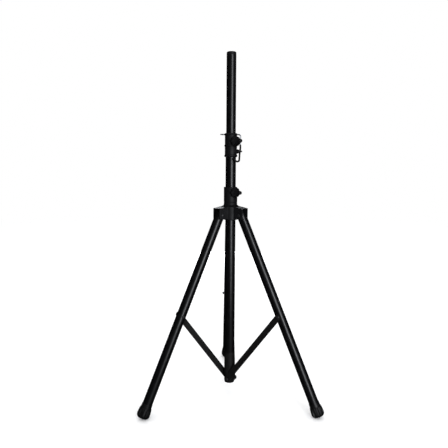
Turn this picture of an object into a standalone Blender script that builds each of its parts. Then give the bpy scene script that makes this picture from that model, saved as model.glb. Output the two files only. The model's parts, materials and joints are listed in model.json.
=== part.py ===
"""Folding tripod floor stand with a telescoping pole for a loudspeaker.

Metres, +Z up, floor at z = 0, rear leg towards +Y. The stand is modelled around its column, and
the empty "stand" then moves all of it so that the middle of the footprint is at the origin.

Every leg and every brace is modelled upright in its own frame and hangs from an empty on its
hinge: local +Z runs up the leg or brace, local +Y is the hinge's axis, and local +X points away
from the column.
"""

from math import atan2, cos, hypot, pi, radians, sin

import bmesh
import bpy
from mathutils import Matrix, Vector

# ---------------------------------------------------------------- driving dimensions
GAP = 0.0003  # between pieces that touch
SIDES = 32  # facets around a tube
SMALL_SIDES = 16  # facets around a bolt, pin or hole

# pole: the standard 35 mm speaker pole
POLE_R = 0.0175
POLE_WALL = 0.0015
POLE_BOTTOM = 0.300
STAND_TOP = 1.284
CAP_HEIGHT = 0.012
HOLE_PITCH = 0.080
HOLE_COUNT = 7

# column: the fixed outer tube
TUBE_R = 0.0190
TUBE_BORE_R = 0.0178
TUBE_TOP = 0.956
TUBE_BOTTOM = 0.0845

# upper collar on the column's top end
COLLAR_R = 0.0222
COLLAR_RING_R = 0.0244
COLLAR_BOTTOM = 0.912
COLLAR_TOP = 0.998
COLLAR_SEAT = 0.9575  # step that the column's end stops under
RING_HEIGHT = 0.006

# yoke: the sliding hub that carries the legs
YOKE_COLLAR_R = 0.0249
YOKE_TOP = 0.803
YOKE_BORE_R = 0.0212
HUB_TOP = 0.735
HUB_BOTTOM = 0.6815
HUB_R = 0.0310
LOBE_REACH = 0.0605
LOBE_HALF_WIDTH = 0.0235
LOBE_BOTTOM = 0.686
LOBE_DROP = 0.010  # slope of the lobe's top from the collar to its end
SLOT_HALF_WIDTH = 0.0185
SLOT_START = 0.0244
SLOT_TOP = 0.7225

# legs
AZIMUTHS = {"left": radians(210), "right": radians(330), "rear": radians(90)}
LEG_TILT = radians(24.17)  # from vertical
LEG_PIVOT_R = 0.0458
LEG_PIVOT_Z = 0.700
LEG_R = 0.0175
LEG_WALL = 0.0015
LEG_TOP = 0.0100  # above its pivot
LEG_REACH = LEG_PIVOT_Z / cos(LEG_TILT)  # from the pivot down its axis to the floor
PIVOT_PIN_R = 0.0040

# feet, measured up the leg's axis from the point where it meets the floor
FOOT_R = 0.0231
FOOT_CORNER_R = 0.0110
FOOT_SOLE_CUT = 0.0008  # how deep the rubber is flattened where it stands
FOOT_TOP = 0.0630
FOOT_STEP = 0.0405
LEG_END = 0.0160

# braces, flat straps on the clockwise side of their legs
BRACE_BASE_Z = 0.066
BRACE_ON_LEG = 0.389  # from the leg's pivot down its axis
BRACE_WIDTH = 0.0220
BRACE_THICK = 0.0025
BRACE_INNER = 0.0203  # from the middle of the leg to the strap's inner face
BRACE_BOLT_R = 0.0036
NUT_R = 0.0058  # to the corners of the hexagon
NUT_HEIGHT = 0.0055
BOLT_HEAD_R = 0.0072
BOLT_HEAD_HEIGHT = 0.0056

# lower bracket around the column's bottom end
BRACKET_R = 0.0200
BRACKET_TOP = 0.171
BRACKET_BOTTOM = 0.0575
BRACKET_SEAT = 0.084
BRACKET_BORE_R = 0.0155
BRACKET_SIDES = 36  # a multiple of six, so the three holes meet its facets alike
PLUG_BOTTOM = 0.0500

# clamps
CLAMP_AZIMUTH = radians(-56)
UPPER_CLAMP_Z = 0.968
LOWER_CLAMP_Z = 0.783
STUD_R = 0.0038
PAD_R = 0.0048
PAD_THICK = 0.0018
KNOB_R = 0.0200
KNOB_START = 0.0256  # radius from the column's axis to the knob's back face
KNOB_LENGTH = 0.0364
KNOB_SOCKET = 0.0140  # depth of the stud in the knob
KNOB_LOBES = 8

# second screw of the upper collar
SCREW_AZIMUTH = radians(-25)
SCREW_Z = 0.932
SCREW_END = 0.0438

# locking pin and its handle
WIRE_R = 0.0024
SLEEVE_R = 0.0033
PIN_Z = 0.9935
PIN_TIP_X = -0.039
HANDLE_X = 0.0325
HANDLE_LEAN = 0.0022  # how much further out the handle stands above its kink
SLEEVE_TOP = 0.956


# ---------------------------------------------------------------- scene and materials
def clear_scene():
    for obj in list(bpy.data.objects):
        bpy.data.objects.remove(obj, do_unlink=True)


def new_collection(name):
    found = bpy.data.collections.new(name)
    bpy.context.scene.collection.children.link(found)
    return found


def finish(name, colour, roughness, metallic=0.0):
    made = bpy.data.materials.new(name)
    made.use_nodes = True
    shader = made.node_tree.nodes["Principled BSDF"]
    shader.inputs["Base Color"].default_value = (*colour, 1.0)
    shader.inputs["Roughness"].default_value = roughness
    shader.inputs["Metallic"].default_value = metallic
    made.diffuse_color = (*colour, 1.0)
    return made


clear_scene()
PARTS = new_collection("speaker_stand")
TOOLS = new_collection("cutters")

POWDER = finish("black_powder_coat", (0.012, 0.012, 0.014), 0.38)
STRAP = finish("matte_black_steel", (0.016, 0.016, 0.017), 0.55)
PLASTIC = finish("black_plastic", (0.018, 0.018, 0.020), 0.48)
LINER = finish("liner_plastic", (0.10, 0.10, 0.11), 0.5)
RUBBER = finish("black_rubber", (0.022, 0.022, 0.023), 0.75)
VINYL = finish("black_vinyl", (0.010, 0.010, 0.011), 0.35)
OXIDE = finish("black_oxide_steel", (0.03, 0.03, 0.032), 0.4, 0.6)
ZINC = finish("zinc_steel", (0.40, 0.41, 0.43), 0.35, 1.0)


# ---------------------------------------------------------------- modelling helpers
def empty(name, parent=None, location=(0, 0, 0), rotation=(0, 0, 0)):
    made = bpy.data.objects.new(name, None)
    made.empty_display_size = 0.03
    made.location = location
    made.rotation_euler = rotation
    made.parent = parent
    PARTS.objects.link(made)
    return made


def add_object(name, data, parent, material=None, location=(0, 0, 0), rotation=(0, 0, 0)):
    made = bpy.data.objects.new(name, data)
    made.location = location
    made.rotation_euler = rotation
    made.parent = parent
    if material is None:
        made.hide_render = True
        made.display_type = "WIRE"
        TOOLS.objects.link(made)
    else:
        data.materials.append(material)
        PARTS.objects.link(made)
    return made


def shade(mesh):
    mesh.shade_smooth()
    mesh.set_sharp_from_angle(angle=radians(35))


def turned(name, profile, parent, material=None, ring=False, sides=SIDES, **place):
    """A turned piece. The profile holds (radius, height) points, and runs down the outer side.
    It starts and ends on the axis, or closes on itself where ring is true."""
    mesh = bpy.data.meshes.new(name)
    points = [(radius, 0, height) for radius, height in profile]
    edges = [(i, i + 1) for i in range(len(points) - 1)]
    if ring:
        edges.append((len(points) - 1, 0))
    mesh.from_pydata(points, edges, [])
    made = add_object(name, mesh, parent, material, **place)
    screw = made.modifiers.new("turn", "SCREW")
    screw.steps = sides
    screw.render_steps = sides
    screw.use_merge_vertices = True
    screw.merge_threshold = 0.00005
    screw.use_smooth_shade = True
    return made


def rod(name, radius, low, high, parent, material=None, sides=SIDES, **place):
    """A plain cylinder along local Z, from height low to height high."""
    shape = bmesh.new()
    bmesh.ops.create_cone(
        shape, cap_ends=True, segments=sides, radius1=radius, radius2=radius, depth=high - low,
        matrix=Matrix.Translation((0, 0, (low + high) / 2)),
    )
    mesh = bpy.data.meshes.new(name)
    shape.to_mesh(mesh)
    shape.free()
    shade(mesh)
    return add_object(name, mesh, parent, material, **place)


def block(name, low, high, parent, material=None, bevel=0.0, slope=0.0, **place):
    """A box between two corners. slope lowers the top of its +X end."""
    low, high = Vector(low), Vector(high)
    shape = bmesh.new()
    bmesh.ops.create_cube(shape, size=1.0)
    for vert in shape.verts:
        vert.co = Vector(low[i] + (vert.co[i] + 0.5) * (high[i] - low[i]) for i in range(3))
    for vert in shape.verts:
        if vert.co.x == high.x and vert.co.z == high.z:
            vert.co.z -= slope
    if bevel:
        bmesh.ops.bevel(
            shape, geom=shape.edges[:], offset=bevel, segments=3, affect="EDGES", profile=0.5,
        )
    mesh = bpy.data.meshes.new(name)
    shape.to_mesh(mesh)
    shape.free()
    return add_object(name, mesh, parent, material, **place)


def loft(name, rings, parent, material=None, **place):
    """Skin a stack of closed sections with the same number of points, lowest section first."""
    shape = bmesh.new()
    loops = [[shape.verts.new(point) for point in ring] for ring in rings]
    count = len(rings[0])
    for lower, upper in zip(loops, loops[1:]):
        for i in range(count):
            j = (i + 1) % count
            shape.faces.new((lower[i], lower[j], upper[j], upper[i]))
    shape.faces.new(reversed(loops[0]))
    shape.faces.new(loops[-1])
    mesh = bpy.data.meshes.new(name)
    shape.to_mesh(mesh)
    shape.free()
    shade(mesh)
    return add_object(name, mesh, parent, material, **place)


def as_mesh(curve_object, name, parent, material=None, **place):
    """Turn a curve object into a closed mesh object, and remove the curve."""
    graph = bpy.context.evaluated_depsgraph_get()
    mesh = bpy.data.meshes.new_from_object(curve_object.evaluated_get(graph))
    shape = bmesh.new()
    shape.from_mesh(mesh)
    bmesh.ops.remove_doubles(shape, verts=shape.verts, dist=0.00001)
    shape.to_mesh(mesh)
    shape.free()
    mesh.name = name
    mesh.materials.clear()
    shade(mesh)
    bpy.data.objects.remove(curve_object, do_unlink=True)
    return add_object(name, mesh, parent, material, **place)


def swept(name, route, radius, parent, material=None, **place):
    """A round wire along a route of points."""
    curve = bpy.data.curves.new(name + "_path", "CURVE")
    curve.dimensions = "3D"
    curve.bevel_depth = radius
    curve.bevel_resolution = 2
    curve.use_fill_caps = True
    spline = curve.splines.new("POLY")
    spline.points.add(len(route) - 1)
    for point, place_at in zip(spline.points, route):
        point.co = (*place_at, 1.0)
    guide = bpy.data.objects.new(name + "_path", curve)
    TOOLS.objects.link(guide)
    bpy.context.view_layer.update()
    return as_mesh(guide, name, parent, material, **place)


def boolean(target, tool, operation="DIFFERENCE"):
    step = target.modifiers.new(tool.name, "BOOLEAN")
    step.operation = operation
    step.solver = "EXACT"
    step.object = tool
    return target


def arc(centre, radius, start, end, steps):
    """Points on an arc in a profile's plane. Angles are in degrees from the +radius direction."""
    for i in range(steps + 1):
        angle = radians(start + (end - start) * i / steps)
        yield (centre[0] + radius * cos(angle), centre[1] + radius * sin(angle))


def rounded_route(corners, radius, steps=4):
    """A route through the corners, each inner one rounded. It is returned as a list of points."""
    corners = [Vector(corner) for corner in corners]
    route = [corners[0]]
    for before, corner, after in zip(corners, corners[1:], corners[2:]):
        back = (before - corner).normalized()
        ahead = (after - corner).normalized()
        length = min(radius, 0.45 * (before - corner).length, 0.45 * (after - corner).length)
        for i in range(steps + 1):
            t = i / steps
            start, end = corner + back * length, corner + ahead * length
            route.append(start.lerp(corner, t).lerp(corner.lerp(end, t), t))
    route.append(corners[-1])
    return route


def facing(azimuth):
    """Turns local +Z to point out along an azimuth, level with the floor."""
    return (0, pi / 2, azimuth)


# Rotation that lays local +Z along a hinge's axis, +Y
ALONG_HINGE = (-pi / 2, 0, 0)

stand = empty("stand")


# ---------------------------------------------------------------- pole
def hole_row(name, parent, radius):
    """Cross holes for the locking pin, joined in one cutter."""
    shape = bmesh.new()
    for i in range(HOLE_COUNT):
        bmesh.ops.create_cone(
            shape, cap_ends=True, segments=SMALL_SIDES, radius1=radius, radius2=radius, depth=0.06,
            matrix=Matrix.Translation((0, 0, PIN_Z - i * HOLE_PITCH)) @ Matrix.Rotation(pi / 2, 4, "Y"),
        )
    mesh = bpy.data.meshes.new(name)
    shape.to_mesh(mesh)
    shape.free()
    return add_object(name, mesh, parent)


def build_pole():
    pole = empty("pole_slide", stand)
    bore = POLE_R - POLE_WALL
    tube_top = STAND_TOP - CAP_HEIGHT
    tube = turned(
        "inner_pole",
        [(POLE_R, tube_top), (POLE_R, POLE_BOTTOM), (bore, POLE_BOTTOM), (bore, tube_top)],
        pole, POWDER, ring=True,
    )
    boolean(tube, hole_row("pole_holes", pole, WIRE_R + 0.0005))

    rim = POLE_R - 0.0001
    edge = 0.0035
    spigot = bore - GAP
    seat = tube_top + GAP
    turned(
        "pole_end_cap",
        [(0, STAND_TOP), (rim - edge, STAND_TOP)]
        + list(arc((rim - edge, STAND_TOP - edge), edge, 75, 0, 3))
        + [(rim, seat), (spigot, seat), (spigot, seat - 0.020), (spigot - 0.0015, seat - 0.0215)]
        + [(0, seat - 0.0215)],
        pole, PLASTIC,
    )

    turned(
        "pole_foot_bush",
        [
            (POLE_R, POLE_BOTTOM - GAP), (POLE_R, POLE_BOTTOM - 0.006),
            (POLE_R - 0.002, POLE_BOTTOM - 0.008), (bore - 0.003, POLE_BOTTOM - 0.008),
            (bore - 0.003, POLE_BOTTOM + 0.020), (spigot, POLE_BOTTOM + 0.020),
            (spigot, POLE_BOTTOM - GAP),
        ],
        pole, LINER, ring=True,
    )


# ---------------------------------------------------------------- column, collar and bracket
def collar_profile():
    """Outer side of the upper collar from the top down, with its three ring flanges."""
    points = [(COLLAR_RING_R - 0.001, COLLAR_TOP)]
    ring_tops = (COLLAR_TOP - 0.001, 0.956, COLLAR_BOTTOM + RING_HEIGHT + 0.0015)
    for i, top in enumerate(ring_tops):
        if i:
            points.append((COLLAR_R, top + 0.0015))
        points += [(COLLAR_RING_R, top), (COLLAR_RING_R, top - RING_HEIGHT)]
        points.append((COLLAR_R, top - RING_HEIGHT - 0.0015))
    points[-1] = (COLLAR_R, COLLAR_BOTTOM)
    return points


def build_upper_collar(column):
    lower_bore = TUBE_R + GAP
    upper_bore = 0.0203
    collar = turned(
        "upper_collar",
        collar_profile()
        + [
            (lower_bore, COLLAR_BOTTOM), (lower_bore, COLLAR_SEAT), (upper_bore, COLLAR_SEAT + 0.001),
            (upper_bore, COLLAR_TOP),
        ],
        column, PLASTIC, ring=True,
    )
    clamp = {"location": (0, 0, UPPER_CLAMP_Z), "rotation": facing(CLAMP_AZIMUTH)}
    screw = {"location": (0, 0, SCREW_Z), "rotation": facing(SCREW_AZIMUTH)}
    boolean(collar, rod("clamp_boss", 0.0105, 0.0208, KNOB_START - 0.0008, column, **clamp), "UNION")
    boolean(collar, rod("screw_boss", 0.0078, 0.0200, 0.0290, column, **screw), "UNION")
    boolean(collar, rod("clamp_hole", PAD_R + GAP, 0.010, 0.040, column, sides=SMALL_SIDES, **clamp))
    boolean(collar, rod("screw_hole", 0.0031, 0.010, 0.040, column, sides=SMALL_SIDES, **screw))
    pin_hole = rod("collar_pin_hole", WIRE_R + 0.0005, -0.04, 0.04, column, sides=SMALL_SIDES,
                   location=(0, 0, PIN_Z), rotation=facing(0))
    boolean(collar, pin_hole)

    bush = turned(
        "collar_bush",
        [
            (upper_bore - GAP, COLLAR_TOP - 0.0005), (upper_bore - GAP, COLLAR_SEAT + 0.002),
            (TUBE_BORE_R, COLLAR_SEAT + 0.002), (TUBE_BORE_R, COLLAR_TOP - 0.0005),
        ],
        column, LINER, ring=True,
    )
    boolean(bush, rod("bush_clamp_hole", PAD_R + GAP, 0.010, 0.030, column, sides=SMALL_SIDES, **clamp))
    boolean(bush, pin_hole)

    turned(
        "collar_screw",
        [
            (0, SCREW_END), (0.0022, SCREW_END), (0.0030, SCREW_END - 0.0015), (0.0030, 0.0358), (0.0052, 0.0352),
            (0.0062, 0.0340), (0.0062, 0.0293), (0.0028, 0.0293), (0.0028, TUBE_R + GAP),
            (0, TUBE_R + GAP),
        ],
        column, OXIDE, sides=SMALL_SIDES, **screw,
    )


def build_bracket(column):
    """The sleeve at the column's foot, with a bolt for each of the three straps."""
    bore = TUBE_R + GAP
    bracket = turned(
        "lower_bracket",
        [
            (BRACKET_R - 0.0008, BRACKET_TOP), (BRACKET_R, BRACKET_TOP - 0.001),
            (BRACKET_R, BRACKET_BOTTOM + 0.003), (BRACKET_R - 0.003, BRACKET_BOTTOM),
            (BRACKET_BORE_R, BRACKET_BOTTOM), (BRACKET_BORE_R, BRACKET_SEAT),
            (bore, BRACKET_SEAT), (bore, BRACKET_TOP),
        ],
        column, POWDER, ring=True, sides=BRACKET_SIDES,
    )
    for side, azimuth in AZIMUTHS.items():
        outward = azimuth - pi / 2
        boolean(bracket, rod(
            "bracket_hole_" + side, BRACE_BOLT_R + GAP, 0.010, 0.030, column, sides=SMALL_SIDES,
            location=(0, 0, BRACE_BASE_Z), rotation=facing(outward),
        ))
        strap_bolt("bracket_bolt_" + side, BRACKET_BORE_R, column, (0, 0, BRACE_BASE_Z), facing(outward))

    lip = 0.0195
    turned(
        "bottom_plug",
        [
            (0, 0.078), (0.011, 0.078), (0.0125, 0.076), (0.0125, BRACKET_BOTTOM - GAP),
            (lip, BRACKET_BOTTOM - GAP),
        ]
        + list(arc((lip - 0.005, PLUG_BOTTOM + 0.006), 0.005, 0, -80, 3))
        + [(0, PLUG_BOTTOM)],
        column, RUBBER,
    )


def strap_bolt(name, tip, parent, location, rotation):
    """A domed bolt. Its height is measured from the middle of the tube, and tip is its inner end."""
    under_head = BRACE_INNER + BRACE_THICK + GAP
    top = under_head + BOLT_HEAD_HEIGHT
    skirt = under_head + 0.0008
    dome = []
    for i in range(4):
        angle = i / 4 * pi / 2
        dome.append((BOLT_HEAD_R * sin(angle), skirt + (top - skirt) * cos(angle)))
    turned(
        name,
        dome
        + [(BOLT_HEAD_R, skirt), (BOLT_HEAD_R, under_head), (BRACE_BOLT_R, under_head)]
        + [(BRACE_BOLT_R, tip + 0.0006), (BRACE_BOLT_R - 0.0006, tip), (0, tip)],
        parent, OXIDE, sides=SMALL_SIDES, location=location, rotation=rotation,
    )


def build_column():
    column = empty("column", stand)
    turned(
        "outer_tube",
        [(TUBE_R, TUBE_TOP), (TUBE_R, TUBE_BOTTOM), (TUBE_BORE_R, TUBE_BOTTOM), (TUBE_BORE_R, TUBE_TOP)],
        column, POWDER, ring=True,
    )
    build_upper_collar(column)
    build_bracket(column)


# ---------------------------------------------------------------- clamps
def knob_rings():
    """Sections of a fluted hand knob: the skirt's flutes fade into a round cap."""
    stations = (  # height above the back face, radius, depth of the flutes
        (0.0000, KNOB_R - 0.0015, 0.0012),
        (0.0010, KNOB_R, 0.0015),
        (0.0045, KNOB_R, 0.0015),
        (0.0065, KNOB_R - 0.0022, 0.0013),
        (0.0120, 0.0125, 0.0005),
        (0.0200, 0.0085, 0.0),
        (0.0300, 0.0066, 0.0),
        (KNOB_LENGTH - 0.0012, 0.0060, 0.0),
        (KNOB_LENGTH, 0.0042, 0.0),
    )
    count = 5 * KNOB_LOBES
    for height, radius, flute in stations:
        ring = []
        for i in range(count):
            angle = 2 * pi * i / count
            reach = radius - flute * (1 - cos(KNOB_LOBES * angle)) / 2
            ring.append((reach * cos(angle), reach * sin(angle), height))
        yield ring


def build_clamp(prefix, height, wall, parent):
    """Pad, stud and knob on one radial axis. wall is the radius of the tube that the pad presses on."""
    pad_start = wall + GAP
    stud_start = pad_start + PAD_THICK + GAP
    pad_slide = empty(prefix + "_clamp", parent, (0, 0, height), facing(CLAMP_AZIMUTH))
    turned(
        prefix + "_pad",
        [
            (0, pad_start + PAD_THICK), (PAD_R - 0.0004, pad_start + PAD_THICK),
            (PAD_R, pad_start + PAD_THICK - 0.0004), (PAD_R, pad_start), (0, pad_start),
        ],
        pad_slide, LINER, sides=SMALL_SIDES,
    )
    socket = KNOB_START + KNOB_SOCKET
    turned(
        prefix + "_stud",
        [(0, socket), (STUD_R, socket), (STUD_R, stud_start + 0.0006), (STUD_R - 0.0006, stud_start)]
        + [(0, stud_start)],
        pad_slide, ZINC, sides=SMALL_SIDES,
    )
    knob = loft(prefix + "_knob", list(knob_rings()), pad_slide, PLASTIC, location=(0, 0, KNOB_START))
    boolean(knob, rod(prefix + "_socket", STUD_R + GAP, KNOB_START - 0.01, socket + GAP, pad_slide, sides=SMALL_SIDES))


# ---------------------------------------------------------------- locking pin
def build_locking_pin():
    """A bent steel wire: the pin goes through collar and pole, the rest is its handle."""
    pin = empty("locking_pin_slide", stand)
    corners = [
        (PIN_TIP_X + 0.004, 0, PIN_Z),
        (HANDLE_X + HANDLE_LEAN, 0, PIN_Z),
        (HANDLE_X + HANDLE_LEAN, 0, 0.941),
        (HANDLE_X, 0, 0.928),
        (HANDLE_X - 0.002, -0.004, 0.8975),
        (0.020, -0.0235, 0.8945),
        (0.009, -0.0265, 0.9055),
    ]
    route = rounded_route(corners, 0.007)
    wire = swept("locking_pin", route, WIRE_R, pin, ZINC)
    tip = turned(
        "pin_tip",
        [(0, 0.0060), (WIRE_R - 0.0011, 0.0056), (WIRE_R - 0.00005, 0.0010), (WIRE_R - 0.00005, -0.0030)]
        + [(0, -0.0030)],
        pin, sides=SMALL_SIDES, location=(PIN_TIP_X + 0.0060, 0, PIN_Z), rotation=(0, -pi / 2, 0),
    )
    boolean(wire, tip, "UNION")

    covered = [Vector((HANDLE_X + HANDLE_LEAN, 0, SLEEVE_TOP))] + [p for p in route[2:] if p.z < SLEEVE_TOP]
    end = (covered[-1] - covered[-2]).normalized()
    sleeve = swept("pin_sleeve", covered[:-1] + [covered[-1] + end * 0.0015], SLEEVE_R, pin, VINYL)
    lift = Vector((0, 0, 0.004))
    core = swept("sleeve_core", [covered[0] + lift] + covered[:-1] + [covered[-1] + end * 0.0005],
                 WIRE_R + GAP, pin)
    boolean(sleeve, core)


# ---------------------------------------------------------------- yoke
def build_yoke():
    yoke_slide = empty("yoke_slide", stand)
    groove = 0.7465
    yoke = turned(
        "yoke",
        [
            (0, YOKE_TOP), (YOKE_COLLAR_R - 0.0012, YOKE_TOP), (YOKE_COLLAR_R, YOKE_TOP - 0.0012),
            (YOKE_COLLAR_R, groove + 0.0012), (YOKE_COLLAR_R - 0.0008, groove + 0.0006),
            (YOKE_COLLAR_R - 0.0008, groove - 0.0006), (YOKE_COLLAR_R, groove - 0.0012),
            (YOKE_COLLAR_R, HUB_TOP + 0.0006), (HUB_R - 0.002, HUB_TOP - 0.0010),
            (HUB_R, HUB_TOP - 0.0030), (HUB_R, HUB_BOTTOM + 0.0030), (HUB_R - 0.0025, HUB_BOTTOM),
            (0, HUB_BOTTOM),
        ],
        yoke_slide, PLASTIC,
    )
    for side, azimuth in AZIMUTHS.items():
        turn = {"rotation": (0, 0, azimuth)}
        boolean(yoke, block(
            "lobe_" + side, (0.012, -LOBE_HALF_WIDTH, LOBE_BOTTOM),
            (LOBE_REACH, LOBE_HALF_WIDTH, HUB_TOP - 0.0004), yoke_slide, bevel=0.0022, slope=LOBE_DROP, **turn,
        ), "UNION")
    for side, azimuth in AZIMUTHS.items():
        turn = {"rotation": (0, 0, azimuth)}
        boolean(yoke, block(
            "slot_" + side, (SLOT_START, -SLOT_HALF_WIDTH, 0.64), (0.09, SLOT_HALF_WIDTH, SLOT_TOP),
            yoke_slide, **turn,
        ))
    boolean(yoke, rod("yoke_bore", YOKE_BORE_R, 0.60, 0.85, yoke_slide))
    clamp = {"location": (0, 0, LOWER_CLAMP_Z), "rotation": facing(CLAMP_AZIMUTH)}
    boolean(yoke, rod("yoke_clamp_hole", PAD_R + GAP, 0.010, 0.040, yoke_slide, sides=SMALL_SIDES, **clamp))

    bush_out = YOKE_BORE_R - GAP
    bush_in = TUBE_R + GAP
    bush = turned(
        "yoke_bush",
        [
            (bush_out, YOKE_TOP - 0.001), (bush_out, HUB_BOTTOM + 0.002), (bush_in, HUB_BOTTOM + 0.002),
            (bush_in, YOKE_TOP - 0.001),
        ],
        yoke_slide, LINER, ring=True,
    )
    boolean(bush, rod("yoke_bush_hole", PAD_R + GAP, 0.010, 0.030, yoke_slide, sides=SMALL_SIDES, **clamp))

    for side, azimuth in AZIMUTHS.items():
        pivot = leg_pivot(side, azimuth)
        boolean(yoke, rod("yoke_pin_hole_" + side, PIVOT_PIN_R + GAP, -0.05, 0.05, pivot, sides=SMALL_SIDES,
                          rotation=ALONG_HINGE))
        pivot_pin(side, pivot)
    return yoke_slide


def leg_pivot(side, azimuth):
    place = (LEG_PIVOT_R * cos(azimuth), LEG_PIVOT_R * sin(azimuth), LEG_PIVOT_Z)
    return empty("leg_pivot_" + side, stand, place, (0, -LEG_TILT, azimuth))


def pivot_pin(side, pivot):
    """A headed rivet across the fork that the leg turns on."""
    half = LOBE_HALF_WIDTH + GAP
    head = 0.0016
    turned(
        "leg_pin_" + side,
        [
            (0, half + head), (0.0042, half + head), (0.0058, half + head - 0.0008), (0.0060, half),
            (PIVOT_PIN_R, half), (PIVOT_PIN_R, -half), (0.0060, -half),
            (0.0058, -half - head + 0.0008), (0.0042, -half - head), (0, -half - head),
        ],
        pivot, OXIDE, sides=SMALL_SIDES, rotation=ALONG_HINGE,
    )


# ---------------------------------------------------------------- legs and feet
def foot_profile():
    """Outer and inner sides of the rubber boot around the leg's end, heights up the leg's axis."""
    side = LEG_R + GAP
    corner_r = FOOT_R - FOOT_CORNER_R
    lowest = -FOOT_SOLE_CUT
    corner_z = (lowest + FOOT_CORNER_R + corner_r * sin(LEG_TILT)) / cos(LEG_TILT)
    return (
        [(0, LEG_END - GAP), (side, LEG_END - GAP), (side, FOOT_TOP), (side + 0.0013, FOOT_TOP)]
        + [(side + 0.0020, FOOT_TOP - 0.0010), (side + 0.0024, FOOT_STEP)]
        + [(side + 0.0034, FOOT_STEP - 0.0010), (FOOT_R - 0.0006, corner_z + 0.010)]
        + list(arc((corner_r, corner_z), FOOT_CORNER_R, 0, -84, 5))
        + [(0, corner_z - FOOT_CORNER_R - 0.0006)]
    )


def build_leg(side):
    pivot = bpy.data.objects["leg_pivot_" + side]
    bore = LEG_R - LEG_WALL
    end = LEG_END - LEG_REACH
    tube = turned(
        "leg_tube_" + side, [(LEG_R, LEG_TOP), (LEG_R, end), (bore, end), (bore, LEG_TOP)],
        pivot, POWDER, ring=True,
    )
    plug_r = bore - GAP
    plug = turned(
        "leg_top_plug_" + side,
        [
            (0, LEG_TOP + 0.0018), (LEG_R - 0.0015, LEG_TOP + 0.0018), (LEG_R - 0.0003, LEG_TOP + 0.0010),
            (LEG_R - 0.0003, LEG_TOP + GAP), (plug_r, LEG_TOP + GAP), (plug_r, -0.0150), (0, -0.0150),
        ],
        pivot, PLASTIC,
    )
    pin_hole = rod("leg_pin_hole_" + side, PIVOT_PIN_R + GAP, -0.05, 0.05, pivot, sides=SMALL_SIDES,
                   rotation=ALONG_HINGE)
    boolean(tube, pin_hole)
    boolean(plug, pin_hole)

    foot = turned("foot_" + side, foot_profile(), pivot, RUBBER, location=(0, 0, -LEG_REACH))
    boolean(foot, block("floor_cut_" + side, (-0.6, -0.6, -0.05), (0.6, 0.6, 0.0), stand))

    washer = rod("brace_washer_" + side, 0.0088, -(BRACE_INNER - GAP), -0.0110, pivot, POWDER, sides=SMALL_SIDES,
                 location=(0, 0, -BRACE_ON_LEG), rotation=ALONG_HINGE)
    boolean(washer, rod("washer_saddle_" + side, LEG_R + GAP, -0.45, -0.30, pivot))
    rod("brace_nut_" + side, NUT_R, LEG_R + GAP, LEG_R + GAP + NUT_HEIGHT, pivot, OXIDE, sides=6,
        location=(0, 0, -BRACE_ON_LEG), rotation=ALONG_HINGE)


# ---------------------------------------------------------------- braces
def strap_curve(name, length):
    """A flat strap with round ends and a bolt hole at each end, in the curve's own XY plane."""
    curve = bpy.data.curves.new(name, "CURVE")
    curve.dimensions = "2D"
    curve.fill_mode = "BOTH"
    curve.extrude = BRACE_THICK / 2
    half = BRACE_WIDTH / 2
    outline = list(arc((0, length), half, 0, 180, 12)) + list(arc((0, 0), half, 180, 360, 12))
    hole_r = BRACE_BOLT_R + GAP
    loops = [outline]
    for end in (0, length):
        loops.append(list(arc((0, end), hole_r, 0, 342, 19)))
    for loop in loops:
        spline = curve.splines.new("POLY")
        spline.points.add(len(loop) - 1)
        spline.use_cyclic_u = True
        for point, (x, y) in zip(spline.points, loop):
            point.co = (x, y, 0, 1)
    return curve


def build_brace(side, azimuth):
    """The strap turns on the lower bracket, and its upper bolt rides with it."""
    top_r = LEG_PIVOT_R + BRACE_ON_LEG * sin(LEG_TILT)
    top_z = LEG_PIVOT_Z - BRACE_ON_LEG * cos(LEG_TILT) - BRACE_BASE_Z
    length = hypot(top_r, top_z)
    pivot = empty("brace_pivot_" + side, stand, (0, 0, BRACE_BASE_Z), (0, atan2(top_r, top_z), azimuth))
    middle = -(BRACE_INNER + BRACE_THICK / 2)
    add_object("brace_" + side, strap_curve("brace_" + side, length), pivot, STRAP,
               location=(0, middle, 0), rotation=(pi / 2, 0, 0))
    strap_bolt("brace_bolt_" + side, BRACE_INNER + GAP, pivot, (0, 0, length), (pi / 2, 0, 0))


# ---------------------------------------------------------------- the whole stand
def centre_footprint():
    """Move the stand so that the middle of the box around its feet is on the Z axis."""
    bpy.context.view_layer.update()
    graph = bpy.context.evaluated_depsgraph_get()
    points = []
    for side in AZIMUTHS:
        foot = bpy.data.objects["foot_" + side].evaluated_get(graph)
        points += [foot.matrix_world @ vert.co for vert in foot.data.vertices]
    for axis in (0, 1):
        values = [point[axis] for point in points]
        stand.location[axis] = -(min(values) + max(values)) / 2
    bpy.context.view_layer.update()


build_pole()
build_column()
build_clamp("upper", UPPER_CLAMP_Z, POLE_R, stand)
build_locking_pin()
yoke_frame = build_yoke()
build_clamp("lower", LOWER_CLAMP_Z, TUBE_R, yoke_frame)
for leg_side, leg_azimuth in AZIMUTHS.items():
    build_leg(leg_side)
    build_brace(leg_side, leg_azimuth)
centre_footprint()
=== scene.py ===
"""Looks of the folding loudspeaker stand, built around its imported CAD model.

Every visible piece is a finer mesh that stands for its CAD node and rides on the same body.
Places and main sizes are read from the frame, in metres. Pieces are modelled in one of three
frames: the column's (origin on the floor under its axis), a leg's (origin on its pivot, +Z up the
leg, +X away from the column) and a brace's (origin on its lower bolt, +Z up the strap).
"""

import json
from math import cos, pi, radians, sin

import bmesh
import bpy
from mathutils import Matrix, Vector


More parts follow.
